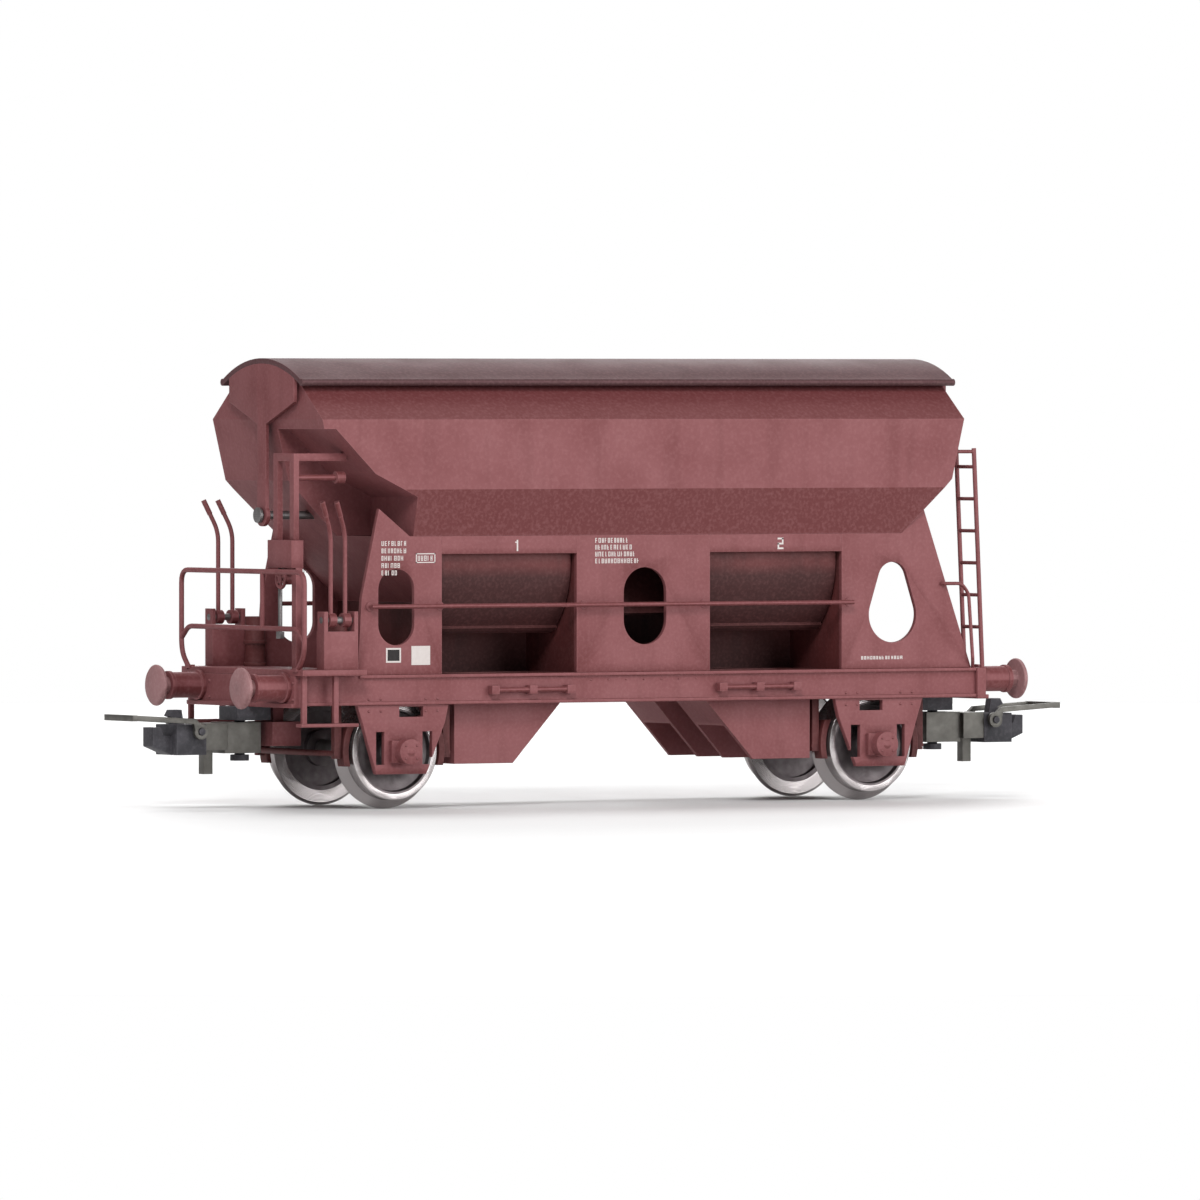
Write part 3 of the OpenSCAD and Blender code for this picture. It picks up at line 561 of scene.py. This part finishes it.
def make_railing():
    """Bent wire railing: outer hoop, middle bar with drooping ends and one upright."""
    low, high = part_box("platform_railing")
    r = RAIL_WIRE
    x = (low.x + high.x) / 2
    y = high.y - r
    top = high.z - r
    middle = top - BAR_BELOW_TOP
    foot = low.z
    hoop = [
        (x, -y + POST_INSET, foot), (x, -y, foot + POST_RISE), (x, -y, top),
        (x, y, top), (x, y, foot + POST_RISE), (x, y - POST_INSET, foot),
    ]
    bar = [
        (x, -y, middle - BAR_DROP), (x, -y + BAR_INSET, middle),
        (x, y - BAR_INSET, middle), (x, y, middle - BAR_DROP),
    ]
    shapes = [
        tube(hoop, r, fillet=1.5 * MM, up=(1, 0.1, 0)),
        tube(bar, r, fillet=0.8 * MM, up=(1, 0.1, 0)),
        tube([(x, UPRIGHT_Y, middle), (x, UPRIGHT_Y, top)], r, up=(1, 0.1, 0)),
    ]
    for side in (-1, 1):
        post_foot = (x, side * (y - POST_INSET), foot)
        shapes.append(slab(
            (post_foot[0] - 0.3 * MM, post_foot[1] - 0.5 * MM, foot),
            (post_foot[0] + 0.5 * MM, post_foot[1] + 0.5 * MM, foot + 0.4 * MM),
        ))
    wire_piece("platform_railing_wire", "platform_railing", shapes)


def make_grab_rods():
    """Long rod on stand-offs along each side, with a small rosette at each stand-off."""
    low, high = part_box("side_grab_rods")
    r = 0.26 * MM
    y = -low.y - r - 0.04 * MM
    z = (low.z + high.z) / 2
    plate = -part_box("centre_side_plates")[0].y
    shapes = []
    for side in (-1, 1):
        shapes.append(tube([(low.x, side * y, z), (high.x, side * y, z)], r))
        for x in STANDOFF_X:
            shapes.append(tube([(x, side * y, z), (x, side * plate, z)], 0.2 * MM))
            shapes.append(tube(
                [(x, side * (plate + 0.15 * MM), z), (x, side * plate, z)], 0.5 * MM
            ))
    wire_piece("side_grab_rod_wires", "side_grab_rods", shapes)


def make_ladder():
    """Two raked stiles with six rungs and top brackets, and the bent handrail beside them."""
    low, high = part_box("end_ladder")
    r = 0.27 * MM
    foot = (high.x - r, low.z)
    head_z = high.z
    head_x = foot[0] - 1.2 * MM
    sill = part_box("headstocks")[1].z
    lean = (foot[0] - head_x) / (head_z - sill)
    shapes = []
    for y in STILE_Y:
        shapes.append(tube([(foot[0], y, sill), (head_x, y, head_z)], r))
        shapes.append(tube([
            (head_x, y, head_z - 0.4 * MM), (head_x - 2.9 * MM, y, head_z - 0.4 * MM)
        ], THIN_WIRE))
    for step in range(RUNGS):
        z = sill + FIRST_RUNG + RUNG_STEP * step
        x = foot[0] - (z - sill) * lean
        shapes.append(tube([(x, STILE_Y[0], z), (x, STILE_Y[1], z)], THIN_WIRE, up=(1, 0, 0.2)))
    plate = -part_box("ladder_side_plates")[0].y
    rail_y = -plate - 0.7 * MM
    top = sill + 10 * MM
    handrail = [
        (41.2 * MM, -plate, top), (41.2 * MM, rail_y, top), (43.6 * MM, rail_y, top),
        (44.6 * MM, rail_y, top - 1.2 * MM), (45.2 * MM, rail_y, sill + 0.8 * MM),
        (45.6 * MM, -plate, sill),
    ]
    shapes.append(tube(handrail, 0.21 * MM, fillet=0.6 * MM))
    wire_piece("end_ladder_wires", "end_ladder", shapes)


def make_levers():
    """Cranked levers: hub, upright, bend and thicker grip."""
    for side, sign in (("near", -1), ("far", 1)):
        for number in (1, 2):
            node = f"lever_{number}_{side}"
            joint = JOINTS[f"{side}_lever_{number}_pull"]
            hub = np.array(joint["pos_m"])
            low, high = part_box(node)
            bend = hub + np.array([0, 0, LEVER_UPRIGHT])
            grip = np.array([
                low.x + 0.32 * MM, sign * (max(abs(low.y), abs(high.y)) - 0.32 * MM),
                high.z - 0.2 * MM,
            ])
            stem = hub + np.array([0, 0, 0.5 * MM])
            knuckle = grip + (bend - grip) * 0.45
            x_half = np.array([0.45 * MM, 0, 0])
            shapes = [
                tube([hub - x_half, hub + x_half], LEVER_HUB, sides=28),
                tube([stem, bend, grip], LEVER_WIRE, fillet=1.2 * MM, up=(0.2, 1, 0)),
                tube([knuckle, grip], LEVER_GRIP, up=(0.2, 1, 0)),
            ]
            wire_piece(f"{node}_wire", node, shapes)


# ---- plain marks on the paint ----

PRINT_HEIGHT = 0.03 * MM
PRINT_SEED = 7
BAR_FACES = [
    [3, 2, 1, 0], [4, 5, 6, 7], [0, 1, 5, 4], [1, 2, 6, 5], [2, 3, 7, 6], [3, 0, 4, 7],
]
# Strokes of each compartment number as (start, end, low, high), in millimetres
DIGITS = {
    1: [(0.45, 0.65, 0.0, 1.3), (0.25, 0.45, 0.95, 1.1)],
    2: [
        (0.1, 0.9, 0.0, 0.2), (0.1, 0.3, 0.2, 0.7), (0.1, 0.9, 0.55, 0.75),
        (0.7, 0.9, 0.75, 1.3), (0.1, 0.9, 1.15, 1.35),
    ],
}
# Number, its place along X in millimetres
NUMBER_X = ((1, -17.7), (2, 18.3))
PANEL = [(0, 2.2, [(0, 2.5)])]
SQUARE_FRAME = [(0, 0.2, [(0, 2)]), (1.5, 0.2, [(0, 2)]), (0.2, 1.3, [(0, 0.2), (1.8, 2)])]
SQUARE_FILL = [(0.2, 1.3, [(0.2, 1.8)])]
BOX_FRAME = [
    (0, 0.12, [(0, 2.6)]), (1.0, 0.12, [(0, 2.6)]), (0, 1.12, [(0, 0.12), (2.48, 2.6)]),
]


def mark_bars(rows, corner, direction, up, proud):
    """Rows of short flat bars: each row is a height, a bar height and a list of (start, end)."""
    corner, direction, up, proud = (np.asarray(v, float) for v in (corner, direction, up, proud))
    shapes = []
    for height, thickness, bars in rows:
        for start, end in bars:
            base = corner + direction * start * MM + up * height * MM
            points = np.array([
                base, base + direction * (end - start) * MM,
                base + direction * (end - start) * MM + up * thickness * MM,
                base + up * thickness * MM,
            ])
            points = np.concatenate([points, points + proud * PRINT_HEIGHT])
            shapes.append((points, BAR_FACES))
    return shapes


def letter_like(rng, height, tall, width, gap=0.14):
    """A line of print: glyphs made of one or two uprights and up to three cross strokes."""
    pen, rows, start = 0.09, [], 0.0
    while start < width:
        wide = rng.uniform(0.24, 0.34)
        uprights = [(start, start + pen)]
        if rng.random() > 0.35:
            uprights.append((start + wide - pen, start + wide))
        rows.append((height, tall, uprights))
        for level in (0, (tall - pen) / 2, tall - pen):
            if rng.random() > 0.4:
                rows.append((height + level, pen, [(start + pen, start + wide - pen)]))
        start += wide + gap
    return rows


def print_block(rng, lines, drop, tall, width, grow):
    """Several lines of print, each lower by the drop and wider by the growth."""
    return sum((letter_like(rng, -drop * k, tall, width + grow * k) for k in range(lines)), [])


def framed_print(rng):
    """One line of print inside a thin box."""
    inset = 0.25
    return BOX_FRAME + [
        (inset + height, tall, [(inset + start, inset + end) for start, end in bars])
        for height, tall, bars in letter_like(rng, 0, 0.6, 1.8)
    ]


def make_marks():
    """Generic pale marks on both sides: print-like bars, a panel, a framed square, numbers."""
    rng = np.random.default_rng(PRINT_SEED)
    plate = -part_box("centre_side_plates")[0].y
    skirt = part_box("centre_side_plates")[1].z
    white, black = [], []
    for sign in (-1, 1):

        def marks(rows, near_x, far_x, z):
            """Rows that start at a place along X on this side and a height from the skirt."""
            start = (near_x if sign < 0 else far_x) * MM
            corner = (start, sign * plate, skirt + z * MM)
            return mark_bars(rows, corner, (-sign, 0, 0), (0, 0, 1), (0, sign, 0))

        white += marks(print_block(rng, 5, 0.85, 0.55, 3.4, -0.4), -35.4, -31.6, -1.1)
        white += marks(framed_print(rng), -30.8, -28.2, -3.1)
        white += marks(print_block(rng, 4, 0.8, 0.55, 4.2, 0.5), -6.6, -2.2, -0.9)
        white += marks(PANEL, -31.4, -28.9, -14.9)
        white += marks(SQUARE_FRAME, -34.8, -32.8, -14.6)
        black += marks(SQUARE_FILL, -34.8, -32.8, -14.6)
        white += marks(letter_like(rng, 0, 0.4, 5.6), 30, 35.6, -14.9)
        for number, x in NUMBER_X:
            for start, end, low, high in DIGITS[number]:
                white += marks([(low, high - low, [(start, end)])], x, x + 1, -1.8)
    for name, shapes in (("white", white), ("black", black)):
        piece = finish_mesh(joined(f"{name}_marks", shapes))
        place(piece, "chassis", FINISH[f"mark_{name}"], "oxide_paint")


# ---- small cast detail ----

DOME_SIDES = 10
COVER_BOLT = 1.05 * MM
GUARD_BOLT_X = (-4.6, -3.0, 3.0, 4.6)
SILL_BOLT_X = np.arange(-24, 25, 2.4) * MM
SILL_BOLT_LIMIT = 8.5 * MM
BEAM_BOLTS = [(7.6, -0.9), (7.6, 1.0), (12.0, -0.9), (12.0, 1.0)]


def dome(centre, axis, radius, height):
    """A closed bolt head: rings of radius r cos t raised by h sin t along its axis."""
    centre, axis = np.asarray(centre, float), np.asarray(axis, float)
    side = np.cross(axis, (0.3, 0.5, 0.81))
    side /= np.linalg.norm(side)
    other = np.cross(axis, side)
    turn = np.linspace(0, 2 * np.pi, DOME_SIDES, endpoint=False)
    lift = np.array([0, 0.5, 1.1])
    ring = np.cos(turn)[None, :, None] * side + np.sin(turn)[None, :, None] * other
    points = centre + radius * np.cos(lift)[:, None, None] * ring
    points = points + (height * np.sin(lift))[:, None, None] * axis
    points = np.concatenate([points.reshape(-1, 3), [centre + height * axis]])
    faces = []
    for low in (0, DOME_SIDES):
        for j in range(DOME_SIDES):
            k = (j + 1) % DOME_SIDES
            faces.append([low + j, low + k, low + DOME_SIDES + k, low + DOME_SIDES + j])
    rim = 2 * DOME_SIDES
    faces += [[rim + j, rim + (j + 1) % DOME_SIDES, 3 * DOME_SIDES] for j in range(DOME_SIDES)]
    faces.append(list(range(DOME_SIDES - 1, -1, -1)))
    return points, faces


def make_bolts():
    """Bolt heads on the axleboxes, along the sills and on the headstocks."""
    shapes = []
    cover = -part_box("axlebox_covers")[0].y
    plate = -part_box("centre_side_plates")[0].y
    sill_low, sill_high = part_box("side_sills")
    beam_low, beam_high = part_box("headstocks")
    middle = (sill_low.z + sill_high.z) / 2
    for sign in (-1, 1):
        out = (0, sign, 0)
        for x in WHEEL_X.values():
            for turn in np.radians([45, 135, 225, 315]):
                across, rise = COVER_BOLT * np.cos(turn), COVER_BOLT * np.sin(turn)
                bolt = (x + across, sign * cover, AXLE_Z + rise)
                shapes.append(dome(bolt, out, 0.16 * MM, 0.12 * MM))
            shapes.append(dome((x, sign * cover, AXLE_Z), out, 0.55 * MM, 0.12 * MM))
            for dx in GUARD_BOLT_X:
                for z in (sill_low.z + 0.7 * MM, sill_low.z - 0.7 * MM):
                    bolt = (x + dx * MM, sign * plate, z)
                    shapes.append(dome(bolt, out, 0.17 * MM, 0.12 * MM))
        for x in SILL_BOLT_X:
            if abs(x) < SILL_BOLT_LIMIT:
                bolt = (x, sign * plate, middle + 0.9 * MM)
                shapes.append(dome(bolt, out, 0.14 * MM, 0.1 * MM))
        for end in (-1, 1):
            face = beam_high.x - 0.4 * MM if end > 0 else beam_low.x + 0.4 * MM
            for y, z in BEAM_BOLTS:
                bolt = (face, sign * y * MM, (beam_low.z + beam_high.z) / 2 + z * MM)
                shapes.append(dome(bolt, (end, 0, 0), 0.2 * MM, 0.15 * MM))
    piece = finish_mesh(joined("bolt_heads", shapes))
    place(piece, "chassis", FINISH["oxide_paint"], "oxide_paint")


def make_scene():
    """Builds every piece on its body."""
    make_camera()
    make_studio()
    for node in NODES:
        if node not in TUBED:
            softened(node)
    make_railing()
    make_grab_rods()
    make_ladder()
    make_levers()
    make_marks()
    make_bolts()


make_scene()
